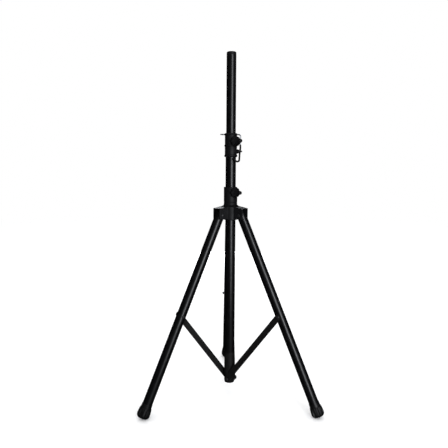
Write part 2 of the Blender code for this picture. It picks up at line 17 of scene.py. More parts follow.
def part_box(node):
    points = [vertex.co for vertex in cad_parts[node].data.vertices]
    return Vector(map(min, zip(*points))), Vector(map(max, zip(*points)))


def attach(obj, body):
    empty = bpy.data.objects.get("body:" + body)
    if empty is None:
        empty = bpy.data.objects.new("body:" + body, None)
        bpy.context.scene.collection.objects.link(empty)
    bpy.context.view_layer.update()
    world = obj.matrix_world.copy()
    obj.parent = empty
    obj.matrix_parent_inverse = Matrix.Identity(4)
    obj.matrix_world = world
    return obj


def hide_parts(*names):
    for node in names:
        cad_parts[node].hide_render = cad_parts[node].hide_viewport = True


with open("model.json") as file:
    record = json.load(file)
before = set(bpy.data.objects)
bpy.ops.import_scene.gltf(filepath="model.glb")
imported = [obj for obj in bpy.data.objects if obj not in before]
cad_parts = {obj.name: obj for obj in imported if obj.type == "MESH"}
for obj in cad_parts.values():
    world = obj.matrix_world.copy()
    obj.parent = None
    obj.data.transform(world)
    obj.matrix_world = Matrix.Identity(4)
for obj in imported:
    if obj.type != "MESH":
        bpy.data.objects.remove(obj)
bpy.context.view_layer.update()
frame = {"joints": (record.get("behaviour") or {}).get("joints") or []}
JOINTS = {joint["name"]: joint for joint in frame["joints"]}
SIDES = ("left", "right", "rear")
UP = Vector((0, 0, 1))


# ---------------------------------------------------------------- places and sizes from the frame
def top(node):
    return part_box(node)[1].z


def bottom(node):
    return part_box(node)[0].z


def radius(node):
    """Radius of an upright turned node, from its box."""
    low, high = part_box(node)
    return (high.x - low.x) / 2


def centre(node):
    low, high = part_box(node)
    return (low + high) / 2


AXIS = Vector((centre("outer_tube").x, centre("outer_tube").y, 0))
COLUMN = Matrix.Translation(AXIS)
POLE_R = radius("inner_pole")
TUBE_R = radius("outer_tube")
COLLAR_TOP = top("upper_collar")
COLLAR_BOTTOM = bottom("upper_collar")
YOKE_TOP = top("yoke")
HUB_BOTTOM = bottom("yoke")
UPPER_CLAMP_Z = JOINTS["upper_knob_turn"]["pos_m"][2]
LOWER_CLAMP_Z = JOINTS["lower_knob_turn"]["pos_m"][2]
CLAMP_OUT = Vector(JOINTS["upper_knob_turn"]["axis"])
LEG_PIVOT_Z = JOINTS["leg_rear_fold"]["pos_m"][2]
BRACE_BASE_Z = JOINTS["brace_rear_fold"]["pos_m"][2]

# sizes that the boxes don't give, as in the CAD source unless a comment says otherwise
LEG_TILT = radians(24.17)
LEG_R = 0.0175
LEG_TOP = 0.0100
LEG_REACH = LEG_PIVOT_Z / cos(LEG_TILT)
LEG_END = 0.0160  # the leg tube's lower end, above the point where its axis meets the floor
BRACE_ON_LEG = 0.389
BRACE_HALF_WIDTH = 0.0110
BRACE_THICK = 0.0025
BRACE_INNER = 0.0203
BRACKET_BORE_R = 0.0155
LOBE_HALF_WIDTH = 0.0235
WALL = 0.0015
COLUMN_WALL = 0.0012
HOLE_PITCH = 0.080
HOLE_COUNT = 7
PIN_Z = 0.9935
WIRE_R = 0.0024
HANDLE_X = 0.0325
HANDLE_TOP_X = HANDLE_X + 0.0022
SLEEVE_R = 0.0033
SCREW_Z = 0.932
SCREW_AZIMUTH = -25
SCREW_R = 0.0029  # to the crest of the small threads, between the CAD's two radii
STUD_R = 0.0038
PAD_R = 0.0048
PAD_THICK = 0.0018
CLEAR = 0.0003


def leg_frame(side):
    """Leg's frame at rest: origin on the pivot, +Y along the hinge, +Z up the leg."""
    joint = JOINTS["leg_" + side + "_fold"]
    along = Vector(joint["axis"]).normalized()
    out = along.cross(UP)
    up = UP * cos(LEG_TILT) - out * sin(LEG_TILT)
    return basis(along.cross(up), along, up, joint["pos_m"])


def brace_frame(side):
    """Brace's frame at rest: origin on the column's axis at the lower bolt, +Z up the strap."""
    leg = leg_frame(side)
    upper = leg @ Vector((0, 0, -BRACE_ON_LEG))
    start = Vector(JOINTS["brace_" + side + "_fold"]["pos_m"])
    up = (upper - start).normalized()
    along = leg.to_3x3().col[1]
    return basis(along.cross(up), along, up, start)


def basis(x_axis, y_axis, z_axis, origin):
    made = Matrix((x_axis, y_axis, z_axis)).transposed().to_4x4()
    made.translation = Vector(origin)
    return made


def azimuth(degrees):
    return Vector((cos(radians(degrees)), sin(radians(degrees)), 0))


def rotation_to(out):
    """Rotation that turns local +Z to a level direction, with local +Y up."""
    out = Vector((out[0], out[1], 0)).normalized()
    return basis(UP.cross(out), UP, out, (0, 0, 0))


def clamp_at(height):
    """A clamp's frame in the column's frame, with +Z out along its knob."""
    return Matrix.Translation((0, 0, height)) @ rotation_to(CLAMP_OUT)


# Rotation that lays local +Z along a leg's hinge
ALONG_HINGE = Matrix.Rotation(-pi / 2, 4, "X")
# The brace's pivot in its leg's frame, with +Z along the hinge
BRACE_PIVOT = Matrix.Translation((0, 0, -BRACE_ON_LEG)) @ ALONG_HINGE


# ---------------------------------------------------------------- mesh builders
def arc(centre_at, size, start, end, steps):
    """Points on an arc, angles in degrees from the first axis."""
    for i in range(steps + 1):
        angle = radians(start + (end - start) * i / steps)
        yield (centre_at[0] + size * cos(angle), centre_at[1] + size * sin(angle))


def share(value):
    """The value held between 0 and 1."""
    return max(0.0, min(1.0, value))


def bend(start, corner, end, steps):
    """Points on a curve from start to end that is pulled towards a corner."""
    for k in range(steps + 1):
        t = k / steps
        yield start.lerp(corner, t).lerp(corner.lerp(end, t), t)


def rounded(profile, ring=False, steps=4):
    """Rounds a profile's corners. A point is (radius, height) or (radius, height, rounding)."""
    count = len(profile)
    out = []
    for i, point in enumerate(profile):
        here = Vector(point[:2])
        size = point[2] if len(point) > 2 else 0.0
        if size == 0 or (not ring and i in (0, count - 1)):
            out.append(here)
            continue
        back = Vector(profile[i - 1][:2]) - here
        ahead = Vector(profile[(i + 1) % count][:2]) - here
        turn = back.angle(ahead)
        reach = size / max(abs(sin(turn / 2) / cos(turn / 2)), 1e-6)
        reach = min(reach, 0.48 * back.length, 0.48 * ahead.length)
        out.extend(bend(here + back.normalized() * reach, here, here + ahead.normalized() * reach, steps))
    return out


def to_mesh(shape, name):
    bmesh.ops.recalc_face_normals(shape, faces=shape.faces[:])
    mesh = bpy.data.meshes.new(name)
    shape.to_mesh(mesh)
    shape.free()
    return mesh


def turned(profile, ring=False, sides=96, steps=4):
    """A turned mesh about local Z, from a profile with rounded corners."""
    points = rounded(profile, ring, steps)
    shape = bmesh.new()
    rows = []
    for point in points:
        if point[0] < 1e-7:
            rows.append([shape.verts.new((0, 0, point[1]))])
            continue
        angles = (2 * pi * i / sides for i in range(sides))
        rows.append([shape.verts.new((point[0] * cos(a), point[0] * sin(a), point[1])) for a in angles])
    pairs = list(zip(rows, rows[1:]))
    if ring:
        pairs.append((rows[-1], rows[0]))
    for first, second in pairs:
        for i in range(sides):
            j = (i + 1) % sides
            corners = [first[i % len(first)], first[j % len(first)]]
            corners += [second[j % len(second)], second[i % len(second)]]
            corners = list(dict.fromkeys(corners))
            if len(corners) > 2:
                shape.faces.new(corners)
    return to_mesh(shape, "turned")


def lofted(rings):
    """Skins a stack of closed sections with equal point counts, and closes both ends."""
    shape = bmesh.new()
    loops = [[shape.verts.new(point) for point in ring] for ring in rings]
    count = len(loops[0])
    for lower, upper in zip(loops, loops[1:]):
        for i in range(count):
            j = (i + 1) % count
            shape.faces.new((lower[i], lower[j], upper[j], upper[i]))
    shape.faces.new(reversed(loops[0]))
    shape.faces.new(loops[-1])
    return to_mesh(shape, "lofted")


def fluted(sections, count, groove):
    """Skins grooved round sections. A section is (radius, height, groove depth), and groove(angle)
    runs from 0 on a rib to 1 in a groove."""
    rings = []
    for reach, height, depth in sections:
        ring = []
        for i in range(count):
            angle = 2 * pi * i / count
            size = reach - depth * groove(angle)
            ring.append((size * cos(angle), size * sin(angle), height))
        rings.append(ring)
    return lofted(rings)


def swept(route, sizes, sides=20):
    """A round wire along a route. sizes holds its radius at each point."""
    route = [Vector(point) for point in route]
    heading = (route[1] - route[0]).normalized()
    side = heading.orthogonal().normalized()
    rings = []
    for i, point in enumerate(route):
        before, after = route[max(i - 1, 0)], route[min(i + 1, len(route) - 1)]
        new_heading = (after - before).normalized()
        side = heading.rotation_difference(new_heading) @ side
        heading = new_heading
        other = heading.cross(side)
        ring = []
        for k in range(sides):
            angle = 2 * pi * k / sides
            ring.append(point + (side * cos(angle) + other * sin(angle)) * sizes[i])
        rings.append(ring)
    return lofted(rings)


def block(low, high, slope=0.0):
    """A box between two corners. slope lowers the top of its +X end."""
    shape = bmesh.new()
    bmesh.ops.create_cube(shape, size=1.0)
    for vert in shape.verts:
        outer_top = vert.co.x > 0 and vert.co.z > 0
        vert.co = [low[i] + (vert.co[i] + 0.5) * (high[i] - low[i]) for i in range(3)]
        if outer_top:
            vert.co.z -= slope
    return to_mesh(shape, "block")


def rod(size, low, high, sides=48):
    return turned([(0, high), (size, high), (size, low), (0, low)], sides=sides)


def hex_ring(across_flats, height, chamfer=0.0, count=48):
    """A hexagon's outline as a ring of points, its corners cut back by chamfer."""
    ring = []
    for i in range(count):
        angle = 2 * pi * i / count
        sector = (angle + pi / 6) % (pi / 3) - pi / 6
        reach = min(across_flats / 2 / cos(sector), across_flats / 2 / cos(pi / 6) - chamfer)
        ring.append((reach * cos(angle), reach * sin(angle), height))
    return ring


def hexagon(*sections):
    """A six-sided solid. A section is (across flats, height, corner cut)."""
    return lofted([hex_ring(*section) for section in sections])


def threaded(size, low, high, pitch=0.00125):
    """A stud's thread, as close rings along its length."""
    depth = 0.0004
    profile = [(0, high), (size - depth - 0.0003, high), (size - depth, high - 0.0004)]
    turns = int((high - low - 0.001) / pitch)
    for i in range(turns):
        z = high - 0.0005 - i * pitch
        profile += [(size - depth, z), (size, z - 0.35 * pitch), (size, z - 0.5 * pitch)]
        profile.append((size - depth, z - 0.85 * pitch))
    profile += [(size - depth, low), (0, low)]
    return turned(profile, sides=32)


def placed(mesh, matrix):
    """The mesh moved by a matrix."""
    mesh.transform(matrix)
    return mesh


def combined(base, added=(), removed=(), soften=None):
    """Joins and cuts meshes. soften is (voxel, smoothing passes, share of faces kept): it remeshes
    the result, so that its edges and inner corners are rounded as on a moulded piece."""
    scene = bpy.context.scene
    target = bpy.data.objects.new("target", base)
    scene.collection.objects.link(target)
    helpers = []
    for operation, meshes in (("UNION", added), ("DIFFERENCE", removed)):
        for mesh in meshes:
            helper = bpy.data.objects.new("helper", mesh)
            scene.collection.objects.link(helper)
            helpers.append(helper)
            step = target.modifiers.new(operation.lower(), "BOOLEAN")
            step.operation = operation
            step.solver = "EXACT"
            step.object = helper
    if soften:
        voxel, passes, kept = soften
        remesh = target.modifiers.new("remesh", "REMESH")
        remesh.mode = "VOXEL"
        remesh.voxel_size = voxel
        smooth = target.modifiers.new("smooth", "SMOOTH")
        smooth.factor = 0.5
        smooth.iterations = passes
        thin = target.modifiers.new("thin", "DECIMATE")
        thin.ratio = kept
    bpy.context.view_layer.update()
    graph = bpy.context.evaluated_depsgraph_get()
    mesh = bpy.data.meshes.new_from_object(target.evaluated_get(graph))
    for obj in helpers + [target]:
        bpy.data.objects.remove(obj, do_unlink=True)
    return mesh


def piece(name, mesh, material, slot, body, *nodes, sharp=40, weighted=True):
    """Adds a finished piece: it rides on a body and stands for CAD nodes."""
    mesh.name = name
    mesh.shade_smooth()
    mesh.set_sharp_from_angle(angle=radians(sharp))
    mesh.materials.clear()
    mesh.materials.append(material)
    obj = bpy.data.objects.new(name, mesh)
    bpy.context.scene.collection.objects.link(obj)
    if weighted:
        normals = obj.modifiers.new("normals", "WEIGHTED_NORMAL")
        normals.keep_sharp = True
    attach(obj, body)
    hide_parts(*nodes)


def clamp_hole(height):
    """Cutter for a clamp's stud."""
    return placed(rod(0.0051, 0.012, 0.04), clamp_at(height))


def pin_hole(height):
    """Cutter for the locking pin, level along X."""
    across = Matrix.Translation((0, 0, height)) @ Matrix.Rotation(pi / 2, 4, "Y")
    return placed(rod(WIRE_R + 0.0005, -0.04, 0.04, 24), across)


def pivot_hole(hinge):
    """Cutter for a leg's pivot pin."""
    return placed(rod(0.0043, -0.05, 0.05), hinge)


def liner(node, bore, lip):
    """The plain liner that fills a node's box, from its outside to a bore."""
    outside, high, low = radius(node), top(node), bottom(node)
    return turned([(outside, high, 0.0003), (outside, low), (bore, low), (bore, high, lip)], ring=True)


# ---------------------------------------------------------------- materials
class Finish:
    """A procedural material. Textures are in metres on the piece, so they move with it."""

    def __init__(self, name, colour, roughness, metallic=0.0, specular=0.5):
        self.material = bpy.data.materials.new(name)
        self.material.use_nodes = True
        self.tree = self.material.node_tree
        self.shader = self.tree.nodes["Principled BSDF"]
        self.shader.inputs["Metallic"].default_value = metallic
        self.shader.inputs["Specular IOR Level"].default_value = specular
        self.shader.inputs["Base Color"].default_value = (*colour, 1)
        self.shader.inputs["Roughness"].default_value = roughness
        self.place = self.add("ShaderNodeTexCoord").outputs["Object"]
        self.height = None

    def add(self, kind, **inputs):
        node = self.tree.nodes.new(kind)
        for name, value in inputs.items():
            node.inputs[name.replace("_", " ")].default_value = value
        return node

    def link(self, source, target):
        self.tree.links.new(source, target)

    def noise(self, scale, detail, stretch=None):
        node = self.add("ShaderNodeTexNoise", Scale=scale, Detail=detail)
        place = self.place
        if stretch:
            mapping = self.add("ShaderNodeMapping", Scale=stretch)
            self.link(place, mapping.inputs["Vector"])
            place = mapping.outputs["Vector"]
        self.link(place, node.inputs["Vector"])
        return node.outputs["Fac"]

    def colour(self, source, low, high, start, end):
        """Base colour, from start to end as the source goes from low to high."""
        node = self.add("ShaderNodeValToRGB")
        stops = node.color_ramp.elements
        stops[0].position, stops[1].position = low, high
        stops[0].color, stops[1].color = (*start, 1), (*end, 1)
        self.link(source, node.inputs["Fac"])
        self.link(node.outputs["Color"], self.shader.inputs["Base Color"])

    def roughness(self, source, start, end):
        """Roughness, from start to end over the middle of the source's range."""
        node = self.add("ShaderNodeMapRange", From_Min=0.3, From_Max=0.7, To_Min=start, To_Max=end)
        self.link(source, node.inputs["Value"])
        self.link(node.outputs["Result"], self.shader.inputs["Roughness"])

    def bump(self, source, depth):
        """Adds a bump of a real depth, in metres, on top of any earlier one."""
        node = self.add("ShaderNodeBump", Distance=depth, Strength=1.0)
        self.link(source, node.inputs["Height"])
        if self.height:
            self.link(self.height, node.inputs["Normal"])
        self.height = node.outputs["Normal"]
        self.link(self.height, self.shader.inputs["Normal"])


def powder_coat():
    """Semi-gloss black powder coat: orange peel, slight unevenness, faint handling marks."""
    made = Finish("black_powder_coat", (0.004, 0.004, 0.0045), 0.34, specular=0.5)
    made.colour(made.noise(60, 4), 0.35, 0.75, (0.0012, 0.0012, 0.0015), (0.0028, 0.0028, 0.0034))
    made.roughness(made.noise(25, 5, (1, 1, 0.12)), 0.29, 0.38)
    made.bump(made.noise(900, 1), 0.000012)
    made.bump(made.noise(2600, 2), 0.000003)
    return made.material


def matte_coat():
    """Flatter black coat of the pressed straps and small steel parts."""
    made = Finish("matte_black_coat", (0.006, 0.006, 0.0065), 0.5, specular=0.4)
    made.colour(made.noise(80, 5), 0.3, 0.8, (0.0030, 0.0029, 0.0028), (0.0062, 0.0060, 0.0058))
    made.roughness(made.noise(40, 4), 0.44, 0.58)
    made.bump(made.noise(1500, 3), 0.000010)
    return made.material


def moulded_plastic():
    """Moulded black nylon: fine grain with smoother worn patches."""
    made = Finish("black_plastic", (0.007, 0.007, 0.008), 0.42, specular=0.27)
    made.colour(made.noise(45, 4), 0.3, 0.75, (0.0022, 0.0022, 0.0029), (0.0048, 0.0048, 0.0060))
    made.roughness(made.noise(30, 5), 0.46, 0.60)
    made.bump(made.noise(1800, 3), 0.000009)
    made.bump(made.noise(160, 2), 0.000030)
    return made.material


def liner_plastic():
    made = Finish("grey_liner_plastic", (0.05, 0.05, 0.055), 0.45)
    made.colour(made.noise(90, 3), 0.3, 0.7, (0.045, 0.045, 0.05), (0.065, 0.065, 0.07))
    made.roughness(made.noise(50, 3), 0.4, 0.5)
    made.bump(made.noise(1200, 2), 0.00001)
    return made.material


def black_rubber():
    """Matte rubber with a dusty film and a pitted skin."""
    made = Finish("black_rubber", (0.006, 0.006, 0.006), 0.55, specular=0.5)
    made.colour(made.noise(70, 6), 0.35, 0.75, (0.0018, 0.0018, 0.0020), (0.0052, 0.0052, 0.0056))
    made.roughness(made.noise(60, 4), 0.32, 0.46)
    made.bump(made.noise(1100, 4), 0.00003)
    return made.material


def black_vinyl():
    made = Finish("black_vinyl", (0.004, 0.004, 0.0045), 0.5, specular=0.12)
    made.colour(made.noise(120, 3), 0.3, 0.7, (0.0015, 0.0015, 0.0017), (0.0032, 0.0032, 0.0036))
    made.roughness(made.noise(150, 3), 0.42, 0.55)
    made.bump(made.noise(700, 2), 0.00001)
    return made.material


def zinc_steel():
    """Dull zinc plating with brighter rubbed patches."""
    made = Finish("zinc_steel", (0.40, 0.41, 0.43), 0.3, metallic=1.0)
    made.colour(made.noise(200, 4), 0.3, 0.7, (0.32, 0.33, 0.35), (0.47, 0.48, 0.50))
    made.roughness(made.noise(260, 4), 0.22, 0.42)
    made.bump(made.noise(900, 3), 0.000006)
    return made.material


def black_oxide_steel():
    """Blackened screws and rivets: oily dark steel with small brighter glints."""
    made = Finish("black_oxide_steel", (0.03, 0.03, 0.032), 0.38, metallic=0.6)
    made.colour(made.noise(260, 4), 0.3, 0.75, (0.010, 0.010, 0.011), (0.032, 0.032, 0.034))
    made.roughness(made.noise(300, 3), 0.28, 0.46)
    made.bump(made.noise(1200, 3), 0.000006)
    return made.material


POWDER = powder_coat()
MATTE = matte_coat()
PLASTIC = moulded_plastic()
LINER = liner_plastic()
RUBBER = black_rubber()
VINYL = black_vinyl()
OXIDE = black_oxide_steel()
ZINC = zinc_steel()


# ---------------------------------------------------------------- pole
def tube_mesh(outer, wall, low, high, sides=96):
    edge = 0.0004
    bore = outer - wall
    return turned([(outer, high, edge), (outer, low, edge), (bore, low, edge), (bore, high, edge)],
                  ring=True, sides=sides, steps=2)


def build_pole():
    high, low = top("inner_pole"), bottom("inner_pole")
    holes = [pin_hole(PIN_Z - i * HOLE_PITCH) for i in range(HOLE_COUNT)]
    tube = combined(tube_mesh(POLE_R, WALL, low, high), removed=holes)
    piece("pole_tube", placed(tube, COLUMN), POWDER, "powder_coat", "pole", "inner_pole")

    rim = POLE_R - 0.0001
    cap_top = top("pole_end_cap")
    spigot = POLE_R - WALL - CLEAR
    cap = turned([
        (0, cap_top), (rim, cap_top, 0.0036), (rim, high + CLEAR, 0.0006), (spigot, high + CLEAR),
        (spigot, high - 0.02, 0.001), (0, high - 0.02),
    ], steps=7)
    piece("pole_cap", placed(cap, COLUMN), PLASTIC, "black_plastic", "pole", "pole_end_cap")

    foot_low = bottom("pole_foot_bush")
    bore = POLE_R - WALL
    bush = turned([
        (POLE_R, low - CLEAR, 0.0005), (POLE_R, foot_low, 0.002), (bore - 0.003, foot_low, 0.001),
        (bore - 0.003, low + 0.02, 0.0004), (spigot, low + 0.02, 0.0004), (spigot, low - CLEAR),
    ], ring=True)
    piece("pole_bush", placed(bush, COLUMN), LINER, "liner_plastic", "pole", "pole_foot_bush")


# ---------------------------------------------------------------- column
def boss(tip_r, tip, edge, root_r, root):
    """A tapered boss that stands on the collar."""
    return turned([(0, tip), (tip_r, tip, edge), (root_r, root), (0, root)])


def collar_mesh():
    """Clamp collar: three rounded ring flanges, a boss for the knob and one for the screw."""
    body_r, bead_half, inset, middle_ring = 0.0222, 0.00312, 0.0045, 0.953
    ring_r = AXIS.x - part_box("upper_collar")[0].x  # the bosses are on the other sides
    bore, pole_bore, seat = TUBE_R + CLEAR, 0.0203, 0.9575
    outer = [(body_r, COLLAR_TOP, 0.0008)]
    for middle in (COLLAR_TOP - inset, middle_ring, COLLAR_BOTTOM + inset):
        for degrees in range(90, -91, -30):
            angle = radians(degrees)
            outer.append((body_r + (ring_r - body_r) * cos(angle), middle + bead_half * sin(angle)))
    outer.append((body_r, COLLAR_BOTTOM, 0.0008))
    shell = turned(
        outer + [(bore, COLLAR_BOTTOM), (bore, seat), (pole_bore, seat + 0.001), (pole_bore, COLLAR_TOP)],
        ring=True, sides=128,
    )
    screw = Matrix.Translation((0, 0, SCREW_Z)) @ rotation_to(azimuth(SCREW_AZIMUTH))
    bosses = [
        placed(boss(0.0102, 0.0248, 0.0008, 0.0110, 0.0206), clamp_at(UPPER_CLAMP_Z)),
        placed(boss(0.0074, 0.0290, 0.001, 0.0084, 0.0203), screw),
    ]
    holes = [clamp_hole(UPPER_CLAMP_Z), placed(rod(0.0031, 0.012, 0.04, 24), screw), pin_hole(PIN_Z)]
    return combined(shell, bosses, holes, soften=(0.00045, 3, 0.22))


def build_collar_screw():
    at = COLUMN @ Matrix.Translation((0, 0, SCREW_Z)) @ rotation_to(azimuth(SCREW_AZIMUTH))
    flats = 0.0118
    nut = hexagon(
        (flats - 0.0008, 0.0293, 0.0009), (flats, 0.0298, 0.0004), (flats, 0.0340, 0.0004),
        (flats - 0.0008, 0.0347, 0.0009), (flats - 0.0018, 0.0349, 0.0010),
    )
    mesh = combined(nut, [threaded(SCREW_R, TUBE_R + CLEAR, 0.0438, 0.001)])
    piece("collar_clamp_screw", placed(mesh, at), OXIDE, "black_oxide_steel", "column", "collar_screw",
          sharp=30)


def bolt_mesh(tip):
    """A domed bolt with a hexagon socket. Heights are measured from the middle of the tube, and tip
    is its inner end."""
    head_r, head_height, shank, socket_flats = 0.0072, 0.0056, 0.0036, 0.0038
    under = BRACE_INNER + BRACE_THICK + CLEAR
    high, skirt = under + head_height, under + 0.0009
    dome = []
    for i in range(9):
        angle = i / 9 * pi / 2
        dome.append((head_r * sin(angle), skirt + (high - skirt) * cos(angle)))
    body = turned(
        dome + [(head_r, skirt, 0.0002), (head_r, under, 0.0003), (shank, under)]
        + [(shank, tip + 0.0006), (shank - 0.0006, tip), (0, tip)],
        sides=48,
    )
    socket = lofted([hex_ring(socket_flats, high + z, count=24) for z in (-0.0014, 0.001)])
    return combined(body, removed=[socket])


def build_bracket():
    """The plain sleeve at the column's foot, its three bolts and the plug in its end."""
    high, low, wide = top("lower_bracket"), bottom("lower_bracket"), radius("lower_bracket")
    bore, seat, groove = TUBE_R + CLEAR, 0.084, 0.080
    sleeve = turned([
        (wide, high, 0.0009), (wide, seat, 0.0005), (wide - 0.0004, seat - 0.0005),
        (wide - 0.0004, groove + 0.0005), (wide, groove, 0.0005), (wide, low, 0.0032),
        (BRACKET_BORE_R, low), (BRACKET_BORE_R, seat), (bore, seat), (bore, high, 0.0003),
    ], ring=True)
    holes = []
    for side in SIDES:
        out = -leg_frame(side).to_3x3().col[1]
        at = Matrix.Translation(UP * BRACE_BASE_Z) @ rotation_to(out)
        holes.append(placed(rod(0.0039, 0.010, 0.03, 24), at))
        piece("bracket_screw_" + side, placed(bolt_mesh(BRACKET_BORE_R), COLUMN @ at), OXIDE,
              "black_oxide_steel", "column", "bracket_bolt_" + side, sharp=35)
    piece("column_bracket", placed(combined(sleeve, removed=holes), COLUMN), MATTE, "powder_coat", "column",
          "lower_bracket")

    plug_low, stem, lip, dimple = bottom("bottom_plug"), 0.0125, 0.0195, 0.0012
    plug = turned([
        (0, top("bottom_plug")), (stem, top("bottom_plug"), 0.001), (stem, low - CLEAR),
        (lip, low - CLEAR, 0.0006), (lip, plug_low, 0.0050), (0.0070, plug_low, 0.0010),
        (0.0060, plug_low + dimple, 0.0006), (0, plug_low + dimple),
    ], steps=6)
    piece("column_plug", placed(plug, COLUMN), RUBBER, "rubber", "column", "bottom_plug")


def build_column():
    tube = tube_mesh(TUBE_R, COLUMN_WALL, bottom("outer_tube"), top("outer_tube"), 112)
    piece("column_tube", placed(tube, COLUMN), POWDER, "powder_coat", "column", "outer_tube")
    piece("clamp_collar", placed(collar_mesh(), COLUMN), PLASTIC, "black_plastic", "column", "upper_collar",
          weighted=False, sharp=75)
    bush = liner("collar_bush", POLE_R + CLEAR, 0.0008)
    bush = combined(bush, removed=[pin_hole(PIN_Z), clamp_hole(UPPER_CLAMP_Z)])
    piece("collar_liner", placed(bush, COLUMN), LINER, "liner_plastic", "column", "collar_bush")
    build_collar_screw()
    build_bracket()


# ---------------------------------------------------------------- clamps
KNOB_R = 0.0200
KNOB_START = 0.0256
KNOB_LENGTH = 0.0364
KNOB_SOCKET = 0.0140
KNOB_FLUTES = 8
KNOB_FLUTE_DEPTH = 0.0017


def knob_mesh():
    """A fluted hand knob: a thin rim, then a long cone, a little fuller than the CAD's, up to a cap."""
    stations = rounded([
        (0.0060, 0.0016), (0.0150, 0.0016, 0.0006), (0.0162, 0.0), (KNOB_R - 0.0008, 0.0, 0.0010),
        (KNOB_R, 0.0024, 0.0016), (KNOB_R - 0.0004, 0.0055, 0.0016), (0.0182, 0.0080, 0.003),
        (0.0140, 0.0128, 0.004), (0.0096, 0.0210, 0.006), (0.0068, 0.0300, 0.002),
        (0.0062, KNOB_LENGTH - 0.0010, 0.0018), (0.0030, KNOB_LENGTH, 0.001),
        (0.0016, KNOB_LENGTH - 0.0003),
    ], steps=4)
    sections = []
    for reach, height in stations:
        rim_share = share((reach - 0.0105) / 0.008)
        sections.append((reach, height, KNOB_FLUTE_DEPTH * rim_share * rim_share))
    return fluted(sections, 16 * KNOB_FLUTES, lambda angle: ((1 - cos(KNOB_FLUTES * angle)) / 2) ** 1.6)


def build_clamp(prefix, height, wall, knob_body, pad_body):
    """A knob with its stud, and the pad that the stud presses on a tube of radius wall."""
    at = COLUMN @ clamp_at(height)
    socket = KNOB_START + KNOB_SOCKET
    knob = combined(placed(knob_mesh(), Matrix.Translation((0, 0, KNOB_START))),
                    removed=[rod(STUD_R + CLEAR, KNOB_START - 0.01, socket + CLEAR)])
    piece(prefix + "_clamp_knob", placed(knob, at), PLASTIC, "black_plastic", knob_body, prefix + "_knob")
    pad_in = wall + CLEAR
    pad_out = pad_in + PAD_THICK
    stud = threaded(STUD_R, pad_out + CLEAR, socket)
    piece(prefix + "_clamp_stud", placed(stud, at), ZINC, "zinc_steel", knob_body, prefix + "_stud", sharp=30)
    pad = turned([(0, pad_out), (PAD_R, pad_out, 0.0004), (PAD_R, pad_in, 0.0003), (0, pad_in)], sides=48)
    piece(prefix + "_clamp_pad", placed(pad, at), LINER, "liner_plastic", pad_body, prefix + "_pad")


# ---------------------------------------------------------------- locking pin
def pin_route():
    """The wire's line in the column's frame: pin, shoulder, drop, and the hooked end of its handle."""
    corners = [
        (-0.035, 0, PIN_Z), (HANDLE_TOP_X, 0, PIN_Z), (HANDLE_TOP_X, 0, 0.941), (HANDLE_X, 0, 0.928),
        (HANDLE_X - 0.002, -0.004, 0.8975), (0.020, -0.0235, 0.8945), (0.009, -0.0265, 0.9055),
    ]
    corners = [Vector(corner) for corner in corners]
    route = [corners[0]]
    for before, corner, after in zip(corners, corners[1:], corners[2:]):
        back, ahead = before - corner, after - corner
        length = min(0.007, 0.45 * back.length, 0.45 * ahead.length)
        start = corner + back.normalized() * length
        end = corner + ahead.normalized() * length
        route.extend(bend(start, corner, end, 8))
    route.append(corners[-1])
    return route


def build_locking_pin():
    route = pin_route()
    round_tip = ((-0.0390, 0.20), (-0.0388, 0.47), (-0.0382, 0.68), (-0.0372, 0.84), (-0.0358, 1.0))
    tip = [Vector((x, 0, PIN_Z)) for x, scale in round_tip]
    sizes = [WIRE_R * scale for x, scale in round_tip] + [WIRE_R] * len(route)
    wire = swept(tip + route, sizes)
    piece("pin_wire", placed(wire, COLUMN), ZINC, "zinc_steel", "locking_pin", "locking_pin")

    sleeve_top = 0.956
    covered = [Vector((HANDLE_TOP_X, 0, sleeve_top))]
    covered += [point for point in route[2:] if point.z < sleeve_top - 0.001]
    end = (covered[-1] - covered[-2]).normalized()
    down = Vector((0, 0, -1))
    line = [covered[0], covered[0] + down * 0.0004, covered[0] + down * 0.0010] + covered[1:]
    sizes = [SLEEVE_R - 0.0005, SLEEVE_R - 0.0001] + [SLEEVE_R] * (len(line) - 2)
    for step, scale in ((0.0008, 0.96), (0.0016, 0.80), (0.0021, 0.45)):
        line.append(covered[-1] + end * step)
        sizes.append(SLEEVE_R * scale)
    piece("pin_handle_sleeve", placed(swept(line, sizes, 28), COLUMN), VINYL, "vinyl", "locking_pin",
          "pin_sleeve")


# ---------------------------------------------------------------- yoke
def yoke_mesh():
    """Hub with a clamp collar and three forked lobes. Its round front is fuller than the CAD's."""
    collar_r, hub_r, hub_top, bore = 0.0249, 0.0345, 0.735, 0.0212
    groove = 0.7465
    body = turned([
        (0, YOKE_TOP), (collar_r, YOKE_TOP, 0.0014), (collar_r, groove + 0.0014),
        (collar_r - 0.0009, groove + 0.0007), (collar_r - 0.0009, groove - 0.0007),
        (collar_r, groove - 0.0014), (collar_r, hub_top + 0.002, 0.001),
        (hub_r, hub_top - 0.0048, 0.003), (hub_r, HUB_BOTTOM, 0.003), (0, HUB_BOTTOM),
    ], sides=128)
    lobes, cuts = [], []
    reach, half, lobe_bottom, lobe_drop = 0.0605, LOBE_HALF_WIDTH, 0.686, 0.010
    slot_half, slot_start, slot_top = 0.0185, 0.0244, 0.7225
    for side in SIDES:
        leg = leg_frame(side)
        out = leg.to_3x3().col[1].cross(UP)
        turn = basis(out, leg.to_3x3().col[1], UP, (0, 0, 0))
        lobe = block((0.012, -half, lobe_bottom), (reach, half, hub_top - 0.0004), lobe_drop)
        lobes.append(placed(lobe, turn))
        cuts.append(placed(block((slot_start, -slot_half, 0.64), (0.09, slot_half, slot_top)), turn))
        cuts.append(pivot_hole(Matrix.Translation(-AXIS) @ leg @ ALONG_HINGE))
    cuts += [rod(bore, 0.60, 0.85, 96), clamp_hole(LOWER_CLAMP_Z)]
    return combined(body, lobes, cuts, soften=(0.0006, 4, 0.2))


